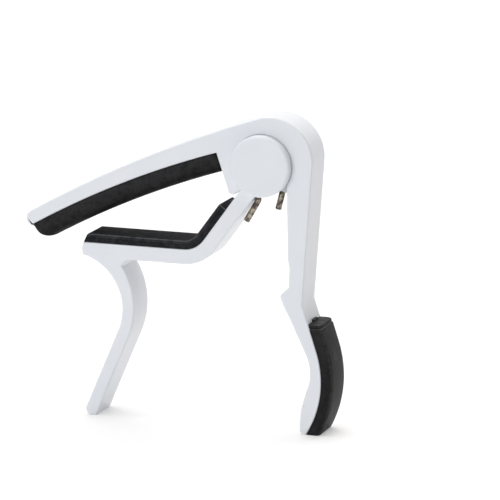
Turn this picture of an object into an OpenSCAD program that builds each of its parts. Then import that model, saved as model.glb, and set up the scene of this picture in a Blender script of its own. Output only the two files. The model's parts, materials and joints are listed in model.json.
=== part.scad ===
// Trigger capo for a guitar neck: a fixed frame with a string bar and a palm
// handle, and a sprung jaw with a neck shelf and a finger lever.
//
// X runs from the tips towards the palm handle, Y runs through the thickness
// of the bars (the front face looks along -Y) and Z is up. The capo stands on
// the ends of its two levers at Z = 0. Side outlines are drawn in the XZ plane
// about the pivot's own centre, and plate() and turned() put them in place.

/* [Bars] */
// Thickness of both castings through Y
bar_w = 11; // [10.6:0.2:12]
// Height of the pivot above the table
pivot_h = 74; // [73:0.5:75]
// Distance from the middle of the capo to the pivot along X
pivot_x = 24.35; // [20:0.05:28]

/* [String bar] */
// Radius of the bar's upper edge
top_r = 358; // [356:0.5:360]
// Radius of the bar's lower edge, where the pad sits
seat_r = 269.6; // [269:0.1:270]
// Distance of the bar's round tip from the pivot along X
tip_reach = 66.9; // [66:0.1:67.5]
// Radius of the bar's round tip
tip_r = 2.25; // [2.1:0.05:2.4]
// Radius of the outer corner between the bar and the handle
corner_r = 11.8; // [11.5:0.1:12]

/* [Palm handle] */
// Lean of the handle's outer face from upright, in degrees
handle_lean = 4.1; // [3.5:0.1:4.5]
// Distance from the pivot to the handle's inner face along X
handle_in = 6.95; // [6.9:0.05:7.1]
// Radius of the bow that the palm pushes on
palm_r = 28; // [27.5:0.1:28.5]
// Thickness of the rubber palm grip
grip_t = 3.3; // [2.8:0.1:3.6]

/* [Jaw] */
// Thickness of the arm and the shelf in the side view
arm_t = 4.2; // [3.8:0.1:4.3]
// Slope of the arm below level, in degrees
arm_slope = 53.7; // [53:0.1:54.5]
// Distance of the arm's inner face from the pivot's axis
arm_in = 3.44; // [3.3:0.02:3.6]
// Depth of the shelf's upper face below the pivot
shelf_drop = 24.8; // [24.4:0.1:25.2]
// Radius of the inside of the bend between arm and shelf
elbow_r = 7; // [6:0.5:8]
// Thickness of the finger lever at its waist
lever_t = 3.5; // [3.2:0.1:3.8]
// Lean of the finger lever from upright, in degrees
lever_lean = 23.2; // [22.5:0.1:24]

/* [Pads] */
// Thickness of the string pad
string_pad_t = 5.5; // [5:0.1:5.8]
// Thickness of the neck pad
neck_pad_t = 2.4; // [2:0.1:2.6]
// How far each pad's sides lie inside the faces of the bars
pad_inset = 0.1; // [0.05:0.05:0.4]
// Width of the rail on the back of each pad
rail_w = 4; // [3:0.5:5]
// Height of the rail on the back of each pad
rail_h = 1.1; // [0.8:0.1:1.2]

/* [Pivot] */
// Radius of the round ears and caps
disc_r = 8.5; // [8.4:0.05:8.55]
// Height of the caps above the faces of the bars
disc_proud = 2.4; // [2.3:0.1:2.8]
// Thickness of each cap
cap_t = 0.9; // [0.8:0.05:1]
// Radius of the pivot pin
pin_r = 2; // [1.8:0.1:2.2]
// Running clearance round the pin
pin_gap = 0.05; // [0.03:0.01:0.08]
// Thickness of each thrust washer
washer_t = 0.3; // [0.2:0.05:0.3]

/* [Spring] */
// Radius of the spring's wire
wire_r = 0.85; // [0.75:0.05:0.85]
// Radius of the coil, to the middle of the wire
coil_r = 5.2; // [5:0.1:5.2]
// Distance of each spring leg from the middle plane
leg_y = 2.25; // [2.23:0.01:2.3]

/* [Hidden] */
$fn = 96;

step = 4;                // largest step of a tight arc, in degrees
long_n = 28;             // steps along each long arc
fit = 0.1;               // clearance of a rail in its groove
bite = 0.02;             // how far a cutting or joined outline runs past a face
through = 1;             // how far a cutter runs out of a small round part
half_w = bar_w / 2;
pad_w = bar_w - 2 * pad_inset;

// String bar: its edges are arcs about top_c and seat_c. The upper one runs into
// the arcs of the outer corner and of the round tip without a break.
corner_c = [2.5, 1.5];
corner_a = 108.3;
top_c = corner_c - (top_r - corner_r) * [cos(corner_a), sin(corner_a)];
seat_c = [67, -254.8];
tip_c = [-tip_reach, top_c[1] + sqrt(pow(top_r - tip_r, 2) - pow(tip_reach + top_c[0], 2))];
seat_from = -0.2 - tip_reach;
seat_to = -13.4;
seat_a0 = 90 + asin((seat_c[0] - seat_from) / seat_r);
pad_len = (seat_a0 - 90 - asin((seat_c[0] - seat_to) / seat_r)) * PI / 180 * seat_r;
horn_top = [-13.2, 2.6];
horn_foot = [-9.9, -7.1];
horn_c = [-8.5, -7.2];
horn_r = 1.4;
horn_a = [185, 325];
crook = [2.5, -2];       // inner point of the bar under the corner

// Palm handle: heights below the pivot at which its outline changes.
fold_z = -37.9;
grip_z = -43;
foot_z = -pivot_h;
palm_c = [-11, -59.15];
palm_a = 18;
waist_c = [1.75, -56.75];
waist_r = 12;
waist_a = [-24, 27];
waist_top = [[8.2, -42.4], [6.2, -38.6]];
shoulder_c = [6.3, -36];
shoulder_r = 1.1;
shoulder_a = [200, 130];
handle_face = [[7.6, -33.2], [7.8, -28], [7.35, -25.5], [handle_in, -3.5]];
foot_face = [[11.6, foot_z], [10.9, foot_z + 0.8], [10.8, foot_z + 2.9],
             [11.2, foot_z + 7]];

// Pivot stack, outwards from the middle plane.
pocket_y = 3.2;
prong_y = 3.35;
cheek_y = 4.6;
ear_y = cheek_y + washer_t + pin_gap;
disc_y = half_w + disc_proud;
cap_y = disc_y - cap_t;
recess_y = cap_y - 1.1;
recess_r = 5.5;
head_r = 3.4;
head_t = 0.8;
clip_y = recess_y + 0.02;
clip_t = 0.5;
clip_r = 3.3;
neck_r = pin_r - 0.4;
pin_end = 0.3;           // how far the pin stands out of its clip
spigot_t = 0.8;
spigot_w = 0.9;
edge_r = 0.8;
edge_n = 6;              // steps round the edge of a cap
pocket_r = coil_r + wire_r + 0.25;
cheek_r = pocket_r + 0.2;
root_r = cheek_r + 0.3;
counter_r = disc_r + 0.1;
sleeve_r = coil_r - wire_r - 0.35;
washer_r = 6.2;

// Jaw: the stop closes it at stop_a, and its root flares to flare_a behind the
// ears. Its faces are straight lines at a distance from the pivot's axis.
stop_gap_a = 0.3;
stop_r = 9.78;
flare_a = 288;
cap_lap = 0.05;          // how far the ears' flare stays inside their rims
press = 0.02;            // clearance of the pin in the ears
fork_r = 11;
fork_lap = 1;            // how far the prongs run on inside the arm
arm_dir = [-cos(arm_slope), -sin(arm_slope)];
arm_n = [sin(arm_slope), -cos(arm_slope)];
arm_out = arm_in - arm_t;
stop_p = arm_at_r(arm_out, stop_r);
stop_a = 360 + atan2(stop_p[1], stop_p[0]);
elbow_c = [(arm_out - elbow_r + cos(arm_slope) * (elbow_r - shelf_drop)) / sin(arm_slope),
           elbow_r - shelf_drop];
shelf_end = -52.5;
shelf_nose_r = 1;
shelf_nose_c = [shelf_end + 0.8, -shelf_drop - 1.9];
shelf_nose_a = [150, 200];
shelf_nose_run = 0.3;
fillet_r = 1.9;
root_x = -38.6;
bow_in_r = 21.6;
bow_in_c = [-58.95, -42.55];
bow_out_r = 15;
bow_out_c = [bow_in_c[0] + bow_in_r - lever_t - bow_out_r, -43];
lever_tip_r = 1.7;

// Pads: the rails stop short of each pad's ends, and their grooves run on by
// twice the fit.
nose_t = 1.6;            // depth of the string pad's upright end
nose_s = 3.8;            // run of its rounded nose along the seat
seat_rail = 3.2;
grip_rail = [4.2, 3.2];
neck_rail = 3.2;
neck_up = 16.4;          // where the neck pad ends, down the arm from the pivot
neck_rail_up = 19.4;
neck_nose = [0.4, 1.5];  // slanted end of the neck pad, behind the shelf's end

// Spring: the coil leaves each leg along its own tangent.
frame_leg_a = -14;
frame_leg_len = 12.4;
jaw_leg_a = 201;
jaw_leg_slope = 60;
jaw_leg_len = 7.4;
extra_turns = 2;
leg_bend = 1.2;
bend_n = 4;              // steps of that bend
leg_start = 0.3;         // where the frame's leg starts to turn into the coil
coil_step = 15;          // step of the coil, in degrees
leg_gap = 0.05;
leg_seat = coil_r + wire_r + leg_gap;
abut_z = -7;
abut_back = [0.2, 0.8];

// Points of an arc about c, from angle a0 to angle a1, in n steps.
function arc(c, r, a0, a1, n = 0) =
    let (k = n > 0 ? n : max(2, ceil(abs(a1 - a0) / step)))
    [for (i = [0:k]) let (a = a0 + (a1 - a0) * i / k) c + r * [cos(a), sin(a)]];

// Angle at which an arc about c stands over x, on its upper side.
function over_x(c, r, x) = acos((x - c[0]) / r);

// Angle at which an arc about c stands at height z, on its right side.
function at_z(c, r, z) = asin((z - c[1]) / r);

// Point where the line at distance d from the pivot along arm_n meets radius r.
function arm_at_r(d, r) = d * arm_n + sqrt(r * r - d * d) * arm_dir;

function unit(v) = v / norm(v);

// A side outline made w thick about the middle plane.
module plate(points, w = bar_w) {
    translate([pivot_x, w / 2, pivot_h]) rotate([90, 0, 0])
        linear_extrude(w) polygon(points);
}

// A side outline on both faces, from depth y0 out to depth y1.
module plate_pair(points, y0, y1) {
    for (y = [y1, -y0])
        translate([pivot_x, y, pivot_h]) rotate([90, 0, 0])
            linear_extrude(y1 - y0) polygon(points);
}

// A round bar about the pivot's axis, from depth y0 to depth y1.
module turned(r, y0, y1) {
    translate([pivot_x, y1, pivot_h]) rotate([90, 0, 0]) cylinder(r = r, h = y1 - y0);
}

// A round bar about the pivot's axis on both faces, from depth y0 out to y1.
module turned_pair(r, y0, y1) {
    turned(r, y0, y1);
    turned(r, -y1, -y0);
}

// Point on the string bar's seat: s along it from the tip end, d below it.
function on_seat(s, d) =
    let (a = seat_a0 - s / seat_r * 180 / PI) seat_c + (seat_r - d) * [cos(a), sin(a)];

// Band that follows the string bar's seat between two depths.
function seat_band(s0, s1, d0, d1) =
    concat([for (i = [0:long_n]) on_seat(s0 + (s1 - s0) * i / long_n, d0)],
           [for (i = [long_n:-1:0]) on_seat(s0 + (s1 - s0) * i / long_n, d1)]);

// Band that follows the palm's bow between two heights above the handle.
function palm_band(z0, z1, d0, d1) =
    let (lo = palm_r + d0, hi = palm_r + d1)
    concat([palm_line(z1, lo)], arc(palm_c, lo, palm_a, at_z(palm_c, lo, z0)),
           arc(palm_c, hi, at_z(palm_c, hi, z0), palm_a), [palm_line(z1, hi)]);

// Point at height z on the straight run above the bow of radius r.
function palm_line(z, r) =
    let (p = palm_c + r * [cos(palm_a), sin(palm_a)])
    [p[0] - (z - p[1]) * tan(palm_a), z];

// Band along the shelf and up the arm, between two heights above them. It
// starts at x0 on its lower side and x1 on its upper side.
function neck_band(x0, x1, up, d0, d1) =
    let (top0 = (arm_out - d0) * arm_n + up * arm_dir,
         top1 = (arm_out - d1) * arm_n + up * arm_dir)
    concat([[x0, d0 - shelf_drop], [x1, d1 - shelf_drop]],
           arc(elbow_c, elbow_r - d1, -90, arm_slope - 90), [top1, top0],
           arc(elbow_c, elbow_r - d0, arm_slope - 90, -90));

// Angle on the round tip at which the free end of the string pad meets it.
function tip_a0() =
    let (along = [sin(seat_a0), -cos(seat_a0)],
         out = [-cos(seat_a0), -sin(seat_a0)],
         k = (on_seat(0, 0) - tip_c) * along,
         p = k * along + sqrt(tip_r * tip_r - k * k) * out)
    360 + atan2(p[1], p[0]);

function bar_outline() =
    let (a_tip = atan2(tip_c[1] - top_c[1], tip_c[0] - top_c[0]))
    concat(arc(tip_c, tip_r, tip_a0(), a_tip + step),
           arc(top_c, top_r, a_tip, corner_a, long_n), [crook, horn_top],
           [for (i = [long_n:-1:0]) on_seat(pad_len * i / long_n, 0)]);

// The horn closes the end of the pad and stops the jaw.
function horn_outline() =
    let (a = stop_a - stop_gap_a)
    concat([horn_top, horn_foot], arc(horn_c, horn_r, horn_a[0], horn_a[1]),
           [(stop_r - bite) * [cos(a), sin(a)], [0, 0]]);

function handle_outline() =
    let (face = corner_c + corner_r * [cos(handle_lean), -sin(handle_lean)])
    concat(arc(corner_c, corner_r, corner_a, -handle_lean),
           [[face[0] + (fold_z - face[1]) * tan(handle_lean), fold_z],
            palm_line(grip_z, palm_r)],
           arc(palm_c, palm_r, palm_a, at_z(palm_c, palm_r, foot_z)),
           foot_face, arc(waist_c, waist_r, waist_a[0], waist_a[1]), waist_top,
           arc(shoulder_c, shoulder_r, shoulder_a[0], shoulder_a[1]),
           handle_face, [[0, 0]]);

// The face that the spring's fixed leg leans on.
function abutment_outline() =
    let (p = leg_seat * [cos(frame_leg_a), sin(frame_leg_a)],
         q = p + (abut_z - p[1]) / -cos(frame_leg_a) * [sin(frame_leg_a), -cos(frame_leg_a)],
         back_x = handle_in + abut_back[0])
    [p, q, [back_x, abut_z - abut_back[1]], [back_x, p[1]]];

// Way out of the spring pocket for both legs. On the jaw's side it follows the
// leg's outer edge as far as the face of the horn.
function mouth_outline() =
    let (a = stop_a - stop_gap_a)
    [[0, 0], leg_seat * [cos(jaw_leg_a), sin(jaw_leg_a)],
     leg_seat / cos(a - jaw_leg_a) * [cos(a), sin(a)], fork_r * [cos(a), sin(a)],
     [0, -fork_r], abutment_outline()[1], abutment_outline()[0], [leg_seat, 0]];

module main_frame() {
    color("white") difference() {
        union() {
            difference() {
                union() {
                    plate(bar_outline());
                    plate(horn_outline());
                    plate(handle_outline());
                    turned(cheek_r, -cheek_y, cheek_y);
                }
                turned(pocket_r, -pocket_y, pocket_y);
                plate(mouth_outline(), 2 * pocket_y);
                turned_pair(counter_r, cheek_y, bar_w);
            }
            plate(abutment_outline(), 2 * pocket_y + bite);
        }
        turned(pin_r + pin_gap, -bar_w, bar_w);
        plate(seat_band(seat_rail - 2 * fit, pad_len - seat_rail + 2 * fit,
                        -rail_h - fit, bite), rail_w + 2 * fit);
        plate(palm_band(foot_z + grip_rail[0] - 2 * fit, grip_z - grip_rail[1] + 2 * fit,
                        -rail_h - fit, bite), rail_w + 2 * fit);
    }
}

// Arm, shelf and finger lever in one outline, from the fork downwards.
function jaw_outline() =
    let (in_end = bow_in_c + bow_in_r * [cos(lever_lean), -sin(lever_lean)],
         out_end = bow_out_c + bow_out_r * [cos(lever_lean), -sin(lever_lean)],
         lean = tan(lever_lean),
         tip_z = foot_z + lever_tip_r,
         tip_x = out_end[0] - (out_end[1] - tip_z) * lean + lever_tip_r / cos(lever_lean),
         root_z = -shelf_drop - arm_t - fillet_r)
    concat([arm_at_r(arm_out, fork_r)],
           arc(elbow_c, elbow_r, arm_slope - 90, -90),
           [[shelf_end + shelf_nose_run, -shelf_drop]],
           arc(shelf_nose_c, shelf_nose_r, shelf_nose_a[0], shelf_nose_a[1]),
           arc(bow_out_c, bow_out_r, over_x(bow_out_c, bow_out_r, shelf_end), -lever_lean),
           arc([tip_x, tip_z], lever_tip_r, 180 - lever_lean, 270),
           [[in_end[0] - (in_end[1] - foot_z) * lean, foot_z]],
           arc(bow_in_c, bow_in_r, -lever_lean, at_z(bow_in_c, bow_in_r, root_z)),
           arc([root_x, root_z], fillet_r, 180, 90),
           arc(elbow_c, elbow_r + arm_t, -90, arm_slope - 90),
           [arm_at_r(arm_in, fork_r)]);

// One prong of the fork: the arm's root and its flare behind the ear.
function prong_outline() =
    let (rim = disc_r - cap_lap,
         meet = arm_at_r(arm_in, rim),
         tongue = arm_t / 4)
    concat([arm_at_r(arm_out + tongue, fork_r + fork_lap), arm_at_r(arm_out, fork_r), stop_p],
           arc([0, 0], root_r, stop_a, flare_a),
           arc([0, 0], rim, flare_a, 360 + atan2(meet[1], meet[0])),
           [arm_at_r(arm_in, fork_r), arm_at_r(arm_in - tongue, fork_r + fork_lap)]);

module neck_jaw() {
    color("white") difference() {
        union() {
            plate(jaw_outline());
            plate_pair(prong_outline(), prong_y, half_w);
            turned_pair(disc_r, ear_y, cap_y);
        }
        turned(pin_r + press, -bar_w, bar_w);
        turned_pair(recess_r, recess_y, bar_w);
        plate(neck_band(shelf_end + neck_rail - 2 * fit, shelf_end + neck_rail - 2 * fit,
                        neck_rail_up - 2 * fit, -rail_h - fit, bite), rail_w + 2 * fit);
    }
}

// The pad's free end is cut back to a rounded nose, and its other end has a
// rounded corner.
module string_pad() {
    corner = 0.7;
    color("dimgray") union() {
        plate(concat([on_seat(0, 0)],
                     [for (t = [0:10:90]) on_seat(nose_s * (1 - cos(t)),
                                                  nose_t + (string_pad_t - nose_t) * sin(t))],
                     [for (i = [2:long_n - 1]) on_seat(pad_len * i / long_n, string_pad_t)],
                     [for (t = [90:-15:0]) on_seat(pad_len - corner * (1 - cos(t)),
                                                   string_pad_t - corner * (1 - sin(t)))],
                     [for (i = [long_n:-1:1]) on_seat(pad_len * i / long_n, 0)]), pad_w);
        plate(seat_band(seat_rail, pad_len - seat_rail, -rail_h, bite), rail_w);
    }
}

module neck_pad() {
    color("dimgray") union() {
        plate(neck_band(shelf_end + neck_nose[0], shelf_end + neck_nose[1], neck_up,
                        0, neck_pad_t), pad_w);
        plate(neck_band(shelf_end + neck_rail, shelf_end + neck_rail, neck_rail_up,
                        -rail_h, bite), rail_w);
    }
}

module palm_grip() {
    color("dimgray") union() {
        plate(palm_band(foot_z, grip_z, 0, grip_t), pad_w);
        plate(palm_band(foot_z + grip_rail[0], grip_z - grip_rail[1], -rail_h, bite), rail_w);
    }
}

// Pressed cover over one ear, with a spigot ring in the ear's recess.
module cap() {
    in_r = recess_r - spigot_w;
    rotate([90, 0, 0]) rotate_extrude() polygon(concat(
        [[0, cap_y], [in_r, cap_y], [in_r, cap_y - spigot_t],
         [recess_r - bite, cap_y - spigot_t], [recess_r - bite, cap_y], [disc_r, cap_y]],
        arc([disc_r - edge_r, disc_y - edge_r], edge_r, 0, 90, edge_n), [[0, disc_y]]));
}

module front_cap() {
    color("white") translate([pivot_x, 0, pivot_h]) cap();
}

module rear_cap() {
    color("white") translate([pivot_x, 0, pivot_h]) rotate([0, 0, 180]) cap();
}

module pivot_pin() {
    color("silver") difference() {
        union() {
            turned(pin_r, -recess_y - head_t / 2, clip_y + clip_t + pin_end);
            turned(head_r, -recess_y - head_t, -recess_y);
        }
        difference() {
            turned(clip_r, clip_y, clip_y + clip_t);
            turned(neck_r, clip_y, clip_y + clip_t);
        }
    }
}

module pin_clip() {
    gap_w = 2.2;
    color("silver") difference() {
        turned(clip_r, clip_y, clip_y + clip_t);
        turned(neck_r, clip_y - through, clip_y + clip_t + through);
        translate([pivot_x - gap_w / 2, clip_y - through, pivot_h - clip_r - through])
            cube([gap_w, clip_t + 2 * through, clip_r + through]);
    }
}

module spring_sleeve() {
    color("ivory") difference() {
        turned(sleeve_r, -pocket_y + pin_gap, pocket_y - pin_gap);
        turned(pin_r + pin_gap, -bar_w, bar_w);
    }
}

module washer(y0, y1) {
    color("ivory") difference() {
        turned(washer_r, y0, y1);
        turned(pin_r + 2 * pin_gap, -bar_w, bar_w);
    }
}

module front_washer() {
    washer(-cheek_y - washer_t, -cheek_y);
}

module rear_washer() {
    washer(cheek_y, cheek_y + washer_t);
}

// Middle line of the wire, from the end of the frame's leg round the coil to
// the end of the jaw's leg.
function wire_path() =
    let (a0 = frame_leg_a,
         a1 = jaw_leg_a + 360 * extra_turns,
         n = ceil((a1 - a0) / coil_step),
         at = function (a, y) [coil_r * cos(a), y, coil_r * sin(a)],
         first = at(a0, leg_y),
         last = at(a1, -leg_y),
         away = [-sin(a1), 0, cos(a1)],
         arm3 = [arm_n[0], 0, arm_n[1]],
         drop = (arm_in + wire_r + leg_gap - last * arm3) / (away * arm3),
         bend = last + drop * away,
         lay = [-cos(jaw_leg_slope), 0, -sin(jaw_leg_slope)])
    concat([first - frame_leg_len * [-sin(a0), 0, cos(a0)],
            first - leg_start * [-sin(a0), 0, cos(a0)]],
           [for (i = [0:n]) at(a0 + (a1 - a0) * i / n, leg_y * (1 - 2 * i / n))],
           [for (t = [0:1 / bend_n:1]) bend + leg_bend * (t * t * lay - (1 - t) * (1 - t) * away)],
           [bend + jaw_leg_len * lay]);

// One ring of the wire's surface at point i of the path p.
function wire_ring(p, i, sides) =
    let (m = len(p) - 1,
         t = unit(p[min(i + 1, m)] - p[max(i - 1, 0)]),
         u = unit([0, 1, 0] - t[1] * t),
         v = cross(t, u))
    [for (k = [0:sides - 1]) let (a = 360 * k / sides)
        p[i] + wire_r * (cos(a) * u + sin(a) * v)];

module torsion_spring() {
    sides = 12;
    p = wire_path();
    m = len(p) - 1;
    color("gainsboro") translate([pivot_x, 0, pivot_h]) polyhedron(
        [for (i = [0:m]) each wire_ring(p, i, sides)],
        concat([[for (k = [0:sides - 1]) k]],
               [for (i = [0:m - 1]) for (k = [0:sides - 1])
                   let (a = i * sides + k, b = i * sides + (k + 1) % sides)
                   [a, a + sides, b + sides, b]],
               [[for (k = [sides - 1:-1:0]) m * sides + k]]));
}

main_frame();
neck_jaw();
string_pad();
neck_pad();
palm_grip();
front_cap();
rear_cap();
pivot_pin();
pin_clip();
spring_sleeve();
torsion_spring();
front_washer();
rear_washer();
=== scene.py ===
import json
from math import asin, cos, degrees, hypot, pi, radians, sin

import bmesh
import bpy
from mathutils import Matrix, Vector


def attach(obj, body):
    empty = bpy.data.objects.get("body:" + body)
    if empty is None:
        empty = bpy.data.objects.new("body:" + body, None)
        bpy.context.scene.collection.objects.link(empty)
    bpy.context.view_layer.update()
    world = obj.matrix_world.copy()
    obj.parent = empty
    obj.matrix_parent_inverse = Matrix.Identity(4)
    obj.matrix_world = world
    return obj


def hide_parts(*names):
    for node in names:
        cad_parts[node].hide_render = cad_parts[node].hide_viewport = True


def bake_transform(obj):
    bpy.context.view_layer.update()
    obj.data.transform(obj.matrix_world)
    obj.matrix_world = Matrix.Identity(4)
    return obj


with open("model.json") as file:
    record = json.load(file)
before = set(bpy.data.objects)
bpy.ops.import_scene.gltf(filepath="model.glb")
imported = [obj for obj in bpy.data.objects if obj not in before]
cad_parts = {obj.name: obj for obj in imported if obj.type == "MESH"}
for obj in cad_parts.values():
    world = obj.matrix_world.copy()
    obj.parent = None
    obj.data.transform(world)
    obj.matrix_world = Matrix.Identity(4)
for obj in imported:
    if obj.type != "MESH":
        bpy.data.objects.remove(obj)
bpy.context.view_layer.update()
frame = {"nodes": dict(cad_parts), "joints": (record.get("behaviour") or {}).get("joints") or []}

MM = 0.001
PIVOT = Vector(frame["joints"][0]["pos_m"])
CORNER = radians(40)       # an edge that turns by more than this is a corner
LEVEL = radians(0.3)       # faces that turn by less than this are one flat face


# --- Camera -----------------------------------------------------------------

EYE = (0.33011, -0.87851, 0.25580)
TARGET = (0.021331, -0.006542, 0.050730)
SENSOR_WIDTH, LENS = 36, 252


def aim(thing, place, target):
    """Puts a camera or light at place, looking at target with its top upwards."""
    thing.location = place
    thing.rotation_euler = (Vector(target) - Vector(place)).to_track_quat("-Z", "Y").to_euler()
    bpy.context.scene.collection.objects.link(thing)


def set_camera():
    """A long lens, a little above the capo and to its right."""
    data = bpy.data.cameras.new("camera")
    data.sensor_width = SENSOR_WIDTH
    data.lens = LENS
    data.clip_start, data.clip_end = 0.05, 20
    camera = bpy.data.objects.new("camera", data)
    aim(camera, EYE, TARGET)
    bpy.context.scene.camera = camera


set_camera()


# --- Finishes: classes for shader maths, for a node tree and for a material -

class Tone:
    """A socket that carries a value, colour or vector. Sums on it add maths nodes."""

    def __init__(self, nodes, socket):
        self.nodes, self.socket = nodes, socket

    def _maths(self, operation, a, b):
        return self.nodes.node("ShaderNodeMath", {"operation": operation}, {0: a, 1: b})

    def __add__(self, other):
        return self._maths("ADD", self, other)

    def __sub__(self, other):
        return self._maths("SUBTRACT", self, other)

    def __rsub__(self, other):
        return self._maths("SUBTRACT", other, self)

    def __mul__(self, other):
        return self._maths("MULTIPLY", self, other)

    def __gt__(self, other):
        return self._maths("GREATER_THAN", self, other)

    def __lt__(self, other):
        return self._maths("LESS_THAN", self, other)

    __radd__ = __add__
    __rmul__ = __mul__


class Nodes:
    """A node tree, emptied and then built through one method."""

    def __init__(self, tree):
        self.tree = tree
        self.tree.nodes.clear()

    def node(self, kind, settings=None, sockets=None, out=0):
        """One node: its settings first, then the values or links of its sockets."""
        n = self.tree.nodes.new(kind)
        for key, value in (settings or {}).items():
            setattr(n, key, value)
        for key, value in (sockets or {}).items():
            if isinstance(value, Tone):
                self.tree.links.new(value.socket, n.inputs[key])
            else:
                n.inputs[key].default_value = value
        return Tone(self, n.outputs[out]) if n.outputs else None


class Finish(Nodes):
    """A material made of nodes, with one Principled shader."""

    def __init__(self, name):
        self.material = bpy.data.materials.new(name)
        self.material.use_nodes = True
        super().__init__(self.material.node_tree)
        self.place = self.node("ShaderNodeTexCoord", out="Object")

    def stretch(self, x, y, z):
        """The place, scaled along each axis, so that patches become streaks."""
        return self.node("ShaderNodeVectorMath", {"operation": "MULTIPLY"},
                         {0: self.place, 1: (x, y, z)})

    def cloud(self, size, detail, rough=0.55, place=None):
        """Soft random patches, size metres across."""
        return self.node("ShaderNodeTexNoise", {},
                         {"Vector": place or self.place, "Scale": 1 / size,
                          "Detail": detail, "Roughness": rough}, "Fac")

    def cells(self, size, out="Distance"):
        """Random cells, size metres across: distance from their middle, or colour."""
        return self.node("ShaderNodeTexVoronoi", {},
                         {"Vector": self.place, "Scale": 1 / size}, out)

    def ease(self, tone, low, high, to_low=0.0, to_high=1.0):
        """tone from low to high becomes to_low to to_high, smoothly."""
        return self.node("ShaderNodeMapRange", {"interpolation_type": "SMOOTHSTEP"},
                         {"Value": tone, "From Min": low, "From Max": high,
                          "To Min": to_low, "To Max": to_high})

    def mix(self, share, a, b):
        """Colour a where share is 0 and colour b where it is 1."""
        wide = [c if isinstance(c, Tone) else (*c, 1.0) for c in (a, b)]
        return self.node("ShaderNodeMix", {"data_type": "RGBA"},
                         {"Factor": share, 6: wide[0], 7: wide[1]}, 2)

    def part_of(self, vector, axis):
        """One axis of a vector, or one channel of a colour."""
        return self.node("ShaderNodeSeparateXYZ", {}, {0: vector}, axis)

    def relief(self, height, depth, under=None):
        """A bump of that depth in metres, over the one under it."""
        sockets = {"Height": height, "Strength": 1.0, "Distance": depth}
        if under:
            sockets["Normal"] = under
        return self.node("ShaderNodeBump", {}, sockets)

    def coat(self, colour, roughness, normal, **plain):
        """The shader itself. plain holds the values that are the same all over."""
        shader = self.node("ShaderNodeBsdfPrincipled", {},
                           {"Base Color": colour, "Roughness": roughness, "Normal": normal,
                            **{key.replace("_", " "): value for key, value in plain.items()}})
        self.node("ShaderNodeOutputMaterial", {}, {"Surface": shader})
        return self.material


def white_enamel():
    """Sprayed gloss enamel on a zinc casting: a slight orange peel, a cool
    white with warmer patches, hairline scuffs and a few specks of dust."""
    f = Finish("white_enamel")
    patches = f.cloud(0.022, 2)
    peel = f.cloud(0.0011, 2, 0.4)
    ripple = f.cloud(0.009, 1, 0.3)
    hairs = f.ease(f.cloud(0.0007, 3, 0.6, f.stretch(0.12, 1, 1.2)), 0.64, 0.76)
    cell = 0.0062
    some = f.part_of(f.cells(cell, "Color"), "X") > 0.78
    specks = (1 - f.ease(f.cells(cell), 0.016, 0.028)) * some
    white = f.mix(patches, (0.695, 0.730, 0.785), (0.745, 0.755, 0.775))
    white = f.mix(hairs * 0.10, white, (0.62, 0.63, 0.65))
    white = f.mix(specks * 0.7, white, (0.36, 0.29, 0.20))
    return f.coat(white, 0.30 + patches * 0.08 + hairs * 0.15,
                  f.relief(peel + specks * 0.5, 0.000004, f.relief(ripple, 0.000012)),
                  Coat_Weight=0.2, Coat_Roughness=0.18, Specular_IOR_Level=0.45)


def rubber(name, dark, light, worn_and_lit, grain, dull, depth, gloss):
    """Moulded rubber: a fine grain, mottling, streaks where it is rubbed, and a
    lighter colour where the moulding marks it: edge wear with a painted highlight
    along edges, painted light on flat sides and painted highlight lines across it."""
    f = Finish(name)
    fine = f.cloud(grain, 3, 0.7)
    mottle = f.cloud(grain * 5, 4, 0.65)
    rubbed = f.ease(f.cloud(grain * 10, 3, 0.6, f.stretch(1, 1.6, 0.35)), 0.50, 0.72)
    dust = 1 - f.ease(f.cells(grain * 8), 0.03, 0.07)
    # the moulding's mark: edge wear with a painted highlight, painted light on flat sides and
    # painted highlight lines
    edge = f.node("ShaderNodeAttribute", {"attribute_name": "edge_wear"}, out="Fac")
    edge = edge * f.ease(mottle, 0.30, 0.60, 0.45, 1.0)
    shade = f.mix(f.ease(fine * 0.5 + mottle * 0.5, 0.40, 0.60), dark, light)
    shade = f.mix(rubbed * 0.30, shade, tuple(1.5 * c + 0.006 for c in light))
    shade = f.mix(dust * 0.30, shade, (0.09, 0.09, 0.09))
    # lighter where marked, as edge wear, painted highlight and painted light
    shade = f.mix(edge, shade, worn_and_lit)
    return f.coat(shade, dull + mottle * 0.16 - rubbed * 0.10 - edge * 0.12,
                  f.relief(fine, depth, f.relief(mottle, depth * 2)),
                  Specular_IOR_Level=gloss)


def steel(name, colour, size, rough):
    """Bare steel with fine drawing or turning lines and a little staining."""
    f = Finish(name)
    lines = f.cloud(size, 3, 0.6, f.stretch(1, 6, 1))
    stain = f.ease(f.cloud(0.0014, 3), 0.42, 0.60)
    tint = f.mix(stain, colour, tuple(0.24 * c for c in colour))
    return f.coat(tint, rough + lines * 0.15 + stain * 0.15, f.relief(lines, 0.000008),
                  Metallic=1.0)


def nylon():
    """Natural nylon, a little milky, with a fine moulded grain."""
    f = Finish("nylon")
    grain = f.cloud(0.0004, 2)
    haze = f.cloud(0.004, 3)
    return f.coat(f.mix(haze, (0.74, 0.71, 0.62), (0.82, 0.80, 0.73)),
                  0.42 + haze * 0.15, f.relief(grain, 0.000008))


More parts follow.
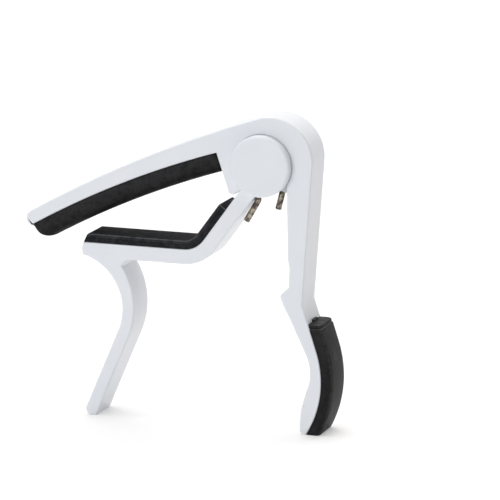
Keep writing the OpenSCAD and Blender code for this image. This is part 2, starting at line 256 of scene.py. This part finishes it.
ENAMEL = white_enamel()
# The third colour of each rubber is its marked colour: edge wear, painted highlights and painted
# light on flat sides.
STRING_RUBBER = rubber("string_rubber", dark=(0.0030, 0.0030, 0.0032),
                       light=(0.013, 0.013, 0.014), worn_and_lit=(0.034, 0.034, 0.036),
                       grain=0.00042, dull=0.52, depth=0.00003, gloss=0.08)
NECK_RUBBER = rubber("neck_rubber", dark=(0.011, 0.0115, 0.013),
                     light=(0.028, 0.029, 0.032), worn_and_lit=(0.115, 0.120, 0.128),
                     grain=0.00040, dull=0.60, depth=0.00002, gloss=0.02)
GRIP_RUBBER = rubber("grip_rubber", dark=(0.004, 0.004, 0.0042),
                     light=(0.014, 0.0135, 0.0135), worn_and_lit=(0.085, 0.085, 0.086),
                     grain=0.00035, dull=0.46, depth=0.00002, gloss=0.12)
WIRE_STEEL = steel("spring_wire", (0.38, 0.33, 0.27), size=0.0008, rough=0.20)
PIN_STEEL = steel("pin_steel", (0.62, 0.62, 0.63), size=0.0004, rough=0.28)
NYLON = nylon()


# --- Outlines shared by the pads: mm about the pivot, in the XZ plane -------

SEAT_C, SEAT_R = (67, -254.8), 269.6
TIP_REACH, HORN_END = 67.1, -13.4
SEAT_A0 = 90 + degrees(asin((SEAT_C[0] + TIP_REACH) / SEAT_R))
PAD_LEN = radians(SEAT_A0 - 90 - degrees(asin((SEAT_C[0] - HORN_END) / SEAT_R))) * SEAT_R
STRING_PAD_T, NECK_PAD_T, GRIP_T, PAD_HALF = 5.5, 2.4, 3.3, 5.4
ARM_SLOPE, ARM_IN, ARM_T, SHELF_Z, SHELF_END = 53.7, 3.44, 4.2, -24.8, -52.5
ELBOW_R, NECK_UP = 7, 16.4
ARM_OUT = ARM_IN - ARM_T
ARM_DIR = (-cos(radians(ARM_SLOPE)), -sin(radians(ARM_SLOPE)))
ARM_N = (sin(radians(ARM_SLOPE)), -cos(radians(ARM_SLOPE)))
ELBOW_C = ((ARM_OUT - ELBOW_R - ARM_DIR[0] * (ELBOW_R + SHELF_Z)) / ARM_N[0],
           ELBOW_R + SHELF_Z)
PALM_C, PALM_R, PALM_A, FOOT_Z, GRIP_Z = (-11, -59.15), 28, 18, -74, -43


def at(x, y, z):
    """A point about the pivot in mm, in the row frame in metres."""
    return PIVOT + Vector((x, y, z)) * MM


def on_seat(s):
    """Place and outward direction on the string bar's seat, s mm from its tip."""
    a = radians(SEAT_A0) - s / SEAT_R
    return ((SEAT_C[0] + SEAT_R * cos(a), SEAT_C[1] + SEAT_R * sin(a)), (-cos(a), -sin(a)))


ARM_RUN = hypot(ARM_OUT * ARM_N[0] + NECK_UP * ARM_DIR[0] - ELBOW_C[0] - ELBOW_R * ARM_N[0],
                ARM_OUT * ARM_N[1] + NECK_UP * ARM_DIR[1] - ELBOW_C[1] - ELBOW_R * ARM_N[1])
BEND_RUN = radians(ARM_SLOPE) * ELBOW_R
SHELF_GAP = 0.4
SHELF_RUN = ELBOW_C[0] - SHELF_END - SHELF_GAP
NECK_LEN = SHELF_RUN + BEND_RUN + ARM_RUN


def on_shelf(s):
    """Place and outward direction along the shelf, round the bend and up the arm."""
    if s < SHELF_RUN:
        return (ELBOW_C[0] - SHELF_RUN + s, SHELF_Z), (0, 1)
    a = radians(-90) + min(s - SHELF_RUN, BEND_RUN) / ELBOW_R
    up = max(0, s - SHELF_RUN - BEND_RUN)
    return ((ELBOW_C[0] + ELBOW_R * cos(a) - up * ARM_DIR[0],
             ELBOW_C[1] + ELBOW_R * sin(a) - up * ARM_DIR[1]), (-cos(a), -sin(a)))


FOOT_A = asin((FOOT_Z - PALM_C[1]) / PALM_R)
BOW_RUN = (radians(PALM_A) - FOOT_A) * PALM_R
LINE_RUN = (GRIP_Z - PALM_C[1] - PALM_R * sin(radians(PALM_A))) / cos(radians(PALM_A))
GRIP_LEN = BOW_RUN + LINE_RUN


def on_palm(s):
    """Place and outward direction up the palm handle's bow from its foot."""
    a = FOOT_A + min(s, BOW_RUN) / PALM_R
    up = max(0, s - BOW_RUN)
    return ((PALM_C[0] + PALM_R * cos(a) - up * sin(a),
             PALM_C[1] + PALM_R * sin(a) + up * cos(a)), (cos(a), sin(a)))


# --- Pieces -----------------------------------------------------------------

def add_piece(name, shape, finish):
    """A bmesh as a smooth piece whose corners over 40 degrees stay sharp."""
    bmesh.ops.recalc_face_normals(shape, faces=shape.faces)
    for face in shape.faces:
        face.smooth = True
    for edge in shape.edges:
        if edge.calc_face_angle(0) > CORNER:
            edge.smooth = False
    mesh = bpy.data.meshes.new(name)
    shape.to_mesh(mesh)
    shape.free()
    mesh.materials.append(finish)
    piece = bpy.data.objects.new(name, mesh)
    bpy.context.scene.collection.objects.link(piece)
    return piece


def skin(shape, rings):
    """Faces between rings of points, with a face over each end."""
    loops = [[shape.verts.new(p) for p in ring] for ring in rings]
    n = len(loops[0])
    for low, high in zip(loops, loops[1:]):
        for i in range(n):
            shape.faces.new((low[i], low[(i + 1) % n], high[(i + 1) % n], high[i]))
    shape.faces.new(loops[0])
    shape.faces.new(loops[-1][::-1])


def strip_section(half, height, round_r, groove=None):
    """A strip's cross section, rounded along the top, as (y, height, edge mark, side mark)
    points: the edge mark, edge wear with a painted highlight, is 1 midway round the
    rounded edges; the side mark, painted light, is 1 on the flat sides, fades out over
    the first 50 degrees of the rounding so that the rounded top stays darker as painted
    shade, and is 0 at the foot, a painted shadow line against the casting. groove is how
    far below the top a fine line runs along both sides, and how deep it is; its upper
    lip gets a painted highlight."""
    # painted shadow line at the foot, painted highlight on the groove's lip, and the turn over
    # which painted light on the flat sides fades
    shadow_foot, groove_highlight, lit_flank_fade = 0.4, 0.25, 50
    side = [(half, 0.0, 0.0, 0.0), (half, min(shadow_foot, (height - round_r) / 2), 0.0, 1.0)]
    if groove:
        down, deep = groove
        side += [(half, height - down - deep, 0.0, 1.0), (half - deep, height - down, 0.0, 1.0),
                 (half, height - down + deep, groove_highlight, 1.0)]
    side += [(half - round_r * (1 - cos(radians(t))), height - round_r * (1 - sin(radians(t))),
              sin(radians(2 * t)) ** 2, max(0.0, 1 - t / lit_flank_fade)) for t in range(0, 91, 15)]
    return [(-y, *rest) for y, *rest in side] + [(y, *rest) for y, *rest in reversed(side)]


def moulding(name, along, stations, finish, groove=None, wear_and_highlight=1.0, lit_flank=0.0, ledge=()):
    """A rubber strip that follows a face of a casting. stations are
    (place along the face, height, half width, corner radius, slant). The two
    scales after groove set edge wear with a painted highlight on its long edges
    and painted light on its flat sides, and ledge lists the stations marked all
    across with a painted highlight line."""
    shape = bmesh.new()
    # a layer for edge wear, painted highlights and painted light
    worn_and_lit = shape.verts.layers.float.new("edge_wear")
    rings, marks = [], []
    for i, (s, height, half, round_r, slant) in enumerate(stations):
        ring = []
        for y, h, edge, side in strip_section(half, height, round_r, groove):
            (x, z), (nx, nz) = along(s + slant * h)
            ring.append(at(x + nx * h, y, z + nz * h))
            # a painted highlight line at ledge stations; elsewhere the larger of edge wear with
            # a painted highlight and painted light on flat sides
            marks.append(1.0 if i in ledge else max(edge * wear_and_highlight, side * lit_flank))
        rings.append(ring)
    skin(shape, rings)
    for vertex, mark in zip(shape.verts, marks):
        vertex[worn_and_lit] = mark
    return add_piece(name, shape, finish)


def rounded_end(radius):
    """How far in and how far down a quarter-round end is, from its outside."""
    return [(radius * (1 - cos(radians(t))), radius * (1 - sin(radians(t))))
            for t in (0, 22.5, 45, 67.5, 90)]


def even(low, high, count):
    """The places that part low to high into count equal steps, without its ends."""
    return [low + (high - low) * i / count for i in range(1, count)]


def string_pad():
    """The black pad under the string bar: its flat sides turn into a round
    underside, with a rounded nose at its free end and a softly rounded end
    against the horn."""
    half, corner, end_r = PAD_HALF, 3.5, 0.7
    nose_t, nose_s, lip = 1.6, 3.8, 0.3
    nose_corner, nose_in = 0.6, 0.25

    def nose(turn):
        """Place along the seat and depth below it, round the nose."""
        return (nose_s * (1 - cos(radians(turn))),
                nose_t + (STRING_PAD_T - nose_t) * sin(radians(turn)))

    stations = [(0.0, nose_t - lip, half - lip, nose_corner, 0)]
    stations += [(s + 0.02, d, half - max(0.0, nose_in - s * 0.5),
                  min(corner, nose_corner + s * 0.78), 0)
                 for s, d in (nose(t) for t in range(6, 91, 7))]
    stations += [(s, STRING_PAD_T, half, corner, 0) for s in even(nose_s, PAD_LEN - end_r, 40)]
    stations += [(PAD_LEN - s, STRING_PAD_T - d, half - d * 0.5, corner, 0)
                 for s, d in reversed(rounded_end(end_r))]
    # The flat sides are painted lighter than the round underside, painted light and shade; the
    # long edges get a faint edge wear with a painted highlight.
    piece = moulding("string_pad_rubber", on_seat, stations, STRING_RUBBER,
                     wear_and_highlight=0.05, lit_flank=0.5)
    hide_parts("string_pad")
    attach(piece, "frame")


def neck_pad():
    """The dark grey pad on the shelf and up the arm, with a fine moulding line
    along its sides and a slanted free end."""
    half, corner, taper, slant, run = PAD_HALF, 0.45, 0.6, 1.1 / NECK_PAD_T, 6.0

    def lean(s):
        return slant * max(0.0, 1 - s / run)

    stations = [(s, NECK_PAD_T - d, half - d * taper, corner, lean(s))
                for s, d in rounded_end(corner)]
    stations += [(s, NECK_PAD_T, half, corner, lean(s)) for s in even(corner, SHELF_RUN, 18)]
    stations += [(s, NECK_PAD_T, half, corner, 0)
                 for s in even(SHELF_RUN, SHELF_RUN + BEND_RUN, 12)]
    stations += [(s, NECK_PAD_T, half, corner, 0)
                 for s in even(SHELF_RUN + BEND_RUN, NECK_LEN - corner, 6)]
    stations += [(NECK_LEN - s, NECK_PAD_T - d, half - d * taper, corner, 0)
                 for s, d in reversed(rounded_end(corner))]
    # The long edges get edge wear with a painted highlight, the groove's upper lip a painted
    # highlight line, and the two listed end stations a painted highlight line across the free
    # end.
    piece = moulding("neck_pad_rubber", on_shelf, stations, NECK_RUBBER,
                     groove=(0.95, 0.10), wear_and_highlight=0.9,
                     ledge=(len(stations) - 4, len(stations) - 3))
    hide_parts("neck_pad")
    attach(piece, "jaw")


def palm_grip():
    """The black grip outside the palm handle. A narrow waist sets off its top
    block, and a small tongue stands up against the handle."""
    half, corner, foot_r, top_r = PAD_HALF, 0.8, 0.3, 0.45
    foot_slant, foot_run, top_slant, top_run = 0.55, 7, -0.325, 5

    def lean(s):
        return (foot_slant * max(0.0, 1 - s / foot_run)
                + top_slant * max(0.0, (s - GRIP_LEN + top_run) / top_run))

    block, ledge, proud = GRIP_LEN - 1.4, 0.32, 0.16
    waist = ledge + 0.12
    stations = [(s, GRIP_T - d, half - d, corner, lean(s)) for s, d in rounded_end(foot_r)]
    stations += [(s, GRIP_T, half, corner, lean(s)) for s in even(foot_r, block - foot_r, 30)]
    shoulder = len(stations) + 2
    stations += [(block - s, GRIP_T - d, half - d, corner, lean(block - s))
                 for s, d in reversed(rounded_end(foot_r))]
    stations += [(s, GRIP_T - d, half - d, corner, lean(s))
                 for s, d in ((block + 0.02, waist), (block + 0.16, waist),
                              (block + 0.24, ledge - 0.1), (block + 0.3, ledge - proud))]
    stations += [(GRIP_LEN - s, GRIP_T - ledge + proud - d, half - ledge + proud - d, corner,
                  lean(GRIP_LEN - s)) for s, d in reversed(rounded_end(top_r))]
    # The long edges get edge wear with a painted highlight, and the listed shoulder and top
    # stations painted highlight lines across the grip.
    piece = moulding("palm_grip_rubber", on_palm, stations, GRIP_RUBBER,
                     wear_and_highlight=0.35, ledge=(shoulder, shoulder + 1, len(stations) - 3))
    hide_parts("palm_grip")
    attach(piece, "frame")
    tongue_t, tongue_half, tongue_corner, tongue_up, tongue_r = 0.75, 1.7, 0.3, 0.6, 0.4
    crown = [(tongue_up - s, d) for s, d in reversed(rounded_end(tongue_r))]
    tongue = [(GRIP_LEN + s, tongue_t - d, tongue_half - d, tongue_corner, 0)
              for s, d in [(-tongue_up, 0), (0.1, 0)] + crown]
    piece = moulding("palm_grip_tongue", on_palm, tongue, GRIP_RUBBER)
    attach(piece, "frame")


def torsion_spring():
    """Round wire with chamfered ends: the frame's leg, the coil about the pivot,
    and the jaw's leg, which bends to lie along the arm."""
    coil_r, wire_r, leg_y = 5.2, 0.85, 2.25
    first_a, last_a = radians(-14), radians(201 + 720)
    frame_leg, jaw_leg, lay_a, bend_r, gap = 12.4, 7.4, radians(60), 1.2, 0.05
    chamfer, leg_start = 0.08, 0.4
    steps, bend_steps, sides = 128, 8, 20

    def round_coil(a, y):
        return Vector((coil_r * cos(a), y, coil_r * sin(a)))

    first, last = round_coil(first_a, leg_y), round_coil(last_a, -leg_y)
    back = Vector((sin(first_a), 0, -cos(first_a)))
    away = Vector((-sin(last_a), 0, cos(last_a)))
    arm = Vector((ARM_N[0], 0, ARM_N[1]))
    bend = last + (ARM_IN + wire_r + gap - last.dot(arm)) / away.dot(arm) * away
    lay = Vector((-cos(lay_a), 0, -sin(lay_a)))
    path = [first + s * back for s in (frame_leg, frame_leg * 0.66, frame_leg * 0.33, leg_start)]
    path += [round_coil(first_a + (last_a - first_a) * i / steps, leg_y * (1 - 2 * i / steps))
             for i in range(steps + 1)]
    path += [bend + bend_r * (t * t * lay - (1 - t) * (1 - t) * away)
             for t in (i / bend_steps for i in range(bend_steps + 1))]
    path += [bend + s * lay for s in (jaw_leg * 0.5, jaw_leg)]
    rings, last_i = [], len(path) - 1
    for i, point in enumerate(path):
        along = (path[min(i + 1, last_i)] - path[max(i - 1, 0)]).normalized()
        side = (Vector((0, 1, 0)) - along.y * along).normalized()
        up = along.cross(side)
        cuts = {0: [(0, wire_r - chamfer), (chamfer, wire_r)],
                last_i: [(-chamfer, wire_r), (0, wire_r - chamfer)]}.get(i, [(0, wire_r)])
        for shift, r in cuts:
            rings.append([PIVOT + MM * (point + shift * along
                                        + r * (cos(2 * pi * k / sides) * side
                                               + sin(2 * pi * k / sides) * up))
                          for k in range(sides)])
    shape = bmesh.new()
    skin(shape, rings)
    piece = add_piece("torsion_spring_wire", shape, WIRE_STEEL)
    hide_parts("torsion_spring")
    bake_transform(piece)


def flat_normals(mesh):
    """Normals weighted by face area, so that flats stay flat beside rounded edges."""
    same_side = cos(radians(32))
    around = {}
    for face in mesh.polygons:
        for loop in face.loop_indices:
            vertex = mesh.loops[loop].vertex_index
            around.setdefault(vertex, []).append((face.normal, face.area))
    normals = [None] * len(mesh.loops)
    for face in mesh.polygons:
        for loop in face.loop_indices:
            total = Vector((0, 0, 0))
            for normal, area in around[mesh.loops[loop].vertex_index]:
                if normal.dot(face.normal) > same_side:
                    total += normal * area
            normals[loop] = total.normalized()
    mesh.normals_split_custom_set(normals)


def casting(node, name, body, hub_r):
    """An enamelled casting with its outer edges rounded. Edges nearer the middle
    plane than its two faces, or within hub_r mm of the pivot, stay sharp."""
    edge_r, face_y, least_turn = 0.45, 5.3, radians(30)

    def on_outside(edge):
        middle = (edge.verts[0].co + edge.verts[1].co) / (2 * MM) - PIVOT / MM
        return abs(middle.y) >= face_y and hypot(middle.x, middle.z) >= hub_r

    shape = bmesh.new()
    shape.from_mesh(frame["nodes"][node].data)
    bmesh.ops.remove_doubles(shape, verts=shape.verts, dist=2e-6)
    bmesh.ops.dissolve_limit(shape, angle_limit=LEVEL, verts=shape.verts, edges=shape.edges)
    picked = [e for e in shape.edges
              if len(e.link_faces) == 2 and e.calc_face_angle(0) > least_turn and on_outside(e)]
    bmesh.ops.bevel(shape, geom=picked, offset=edge_r * MM, offset_type="OFFSET", segments=4,
                    profile=0.5, affect="EDGES", clamp_overlap=False, loop_slide=True)
    piece = add_piece(name, shape, ENAMEL)
    flat_normals(piece.data)
    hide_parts(node)
    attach(piece, body)


def turned_part(node, finish, edge_r=0.0):
    """A turned part keeps its shape, with smooth sides and edge_r mm off its edges."""
    piece = frame["nodes"][node]
    piece.data.materials.clear()
    piece.data.materials.append(finish)
    weld = piece.modifiers.new("join_faces", "WELD")
    weld.merge_threshold = 1e-6
    flat = piece.modifiers.new("join_flats", "DECIMATE")
    flat.decimate_type = "DISSOLVE"
    flat.angle_limit = LEVEL
    if edge_r:
        bevel = piece.modifiers.new("rounded_edges", "BEVEL")
        bevel.width = edge_r * MM
        bevel.segments = 2
        bevel.limit_method = "ANGLE"
        bevel.angle_limit = CORNER
    even_out = piece.modifiers.new("flat_faces", "WEIGHTED_NORMAL")
    even_out.keep_sharp = True


string_pad()
neck_pad()
palm_grip()
torsion_spring()
casting("main_frame", "frame_casting", "frame", hub_r=9.2)
casting("neck_jaw", "jaw_casting", "jaw", hub_r=9.5)
for cap in ("front_cap", "rear_cap"):
    turned_part(cap, ENAMEL)
for pin in ("pivot_pin", "pin_clip"):
    turned_part(pin, PIN_STEEL, edge_r=0.1)
for ring in ("front_washer", "rear_washer", "spring_sleeve"):
    turned_part(ring, NYLON, edge_r=0.05)


# --- Table and light --------------------------------------------------------

def sweep_table():
    """A pale sheet that lies flat under the capo and curves up behind it."""
    shape = bmesh.new()
    radius, near, far, side, top, below = 0.6, -1.6, 0.9, 3.0, 3.0, 0.00005
    profile = [(near, 0.0), (far, 0.0)]
    profile += [(far + radius * sin(radians(t)), radius * (1 - cos(radians(t))))
                for t in range(10, 91, 10)] + [(far + radius, top)]
    rows = [[shape.verts.new((x, y, z - below)) for x in (-side, side)] for y, z in profile]
    for low, high in zip(rows, rows[1:]):
        face = shape.faces.new((low[0], low[1], high[1], high[0]))
        face.smooth = True
    f = Finish("table_paper")
    tooth = f.cloud(0.002, 2)
    tint = f.mix(f.cloud(0.3, 1), (0.64, 0.64, 0.64), (0.67, 0.67, 0.67))
    paper = f.coat(tint, 0.8 + tooth * 0.1, f.relief(tooth, 0.00002),
                   Emission_Color=(1.0, 1.0, 1.0, 1.0), Emission_Strength=0.30)
    mesh = bpy.data.meshes.new("table")
    shape.to_mesh(mesh)
    shape.free()
    mesh.materials.append(paper)
    table = bpy.data.objects.new("table", mesh)
    bpy.context.scene.collection.objects.link(table)


def soft_light(name, place, target, size, power, colour):
    """A rectangular panel lamp: size in metres, power in watts."""
    data = bpy.data.lights.new(name, "AREA")
    data.shape = "RECTANGLE"
    data.size, data.size_y = size
    data.energy = power
    data.color = colour
    light = bpy.data.objects.new(name, data)
    aim(light, place, target)


def light_room():
    """A dim cool room, brighter on the left, with a panel above and one in front."""
    world = bpy.data.worlds.new("room")
    bpy.context.scene.world = world
    world.use_nodes = True
    room = Nodes(world.node_tree)
    way = room.node("ShaderNodeTexCoord", out="Generated")
    across = room.node("ShaderNodeSeparateXYZ", {}, {0: way}, "X")
    glow = room.node("ShaderNodeMapRange", {},
                     {"Value": across, "From Min": -0.6, "From Max": 0.8,
                      "To Min": 0.34, "To Max": 0.05})
    air = room.node("ShaderNodeBackground", {},
                    {"Color": (0.94, 0.97, 1.0, 1.0), "Strength": glow})
    room.node("ShaderNodeOutputWorld", {}, {"Surface": air})
    soft_light("top_panel", place=(0.0, 0.25, 1.4), target=(0, 0.2, 0), size=(1.5, 1.5),
               power=25, colour=(1.0, 0.965, 0.945))
    soft_light("front_panel", place=(-0.35, -1.25, 0.45), target=(0, 0, 0.04), size=(0.9, 0.7),
               power=6.5, colour=(0.965, 0.985, 1.0))
    bpy.context.scene.view_settings.view_transform = "Standard"
    bpy.context.scene.view_settings.look = "None"


sweep_table()
light_room()
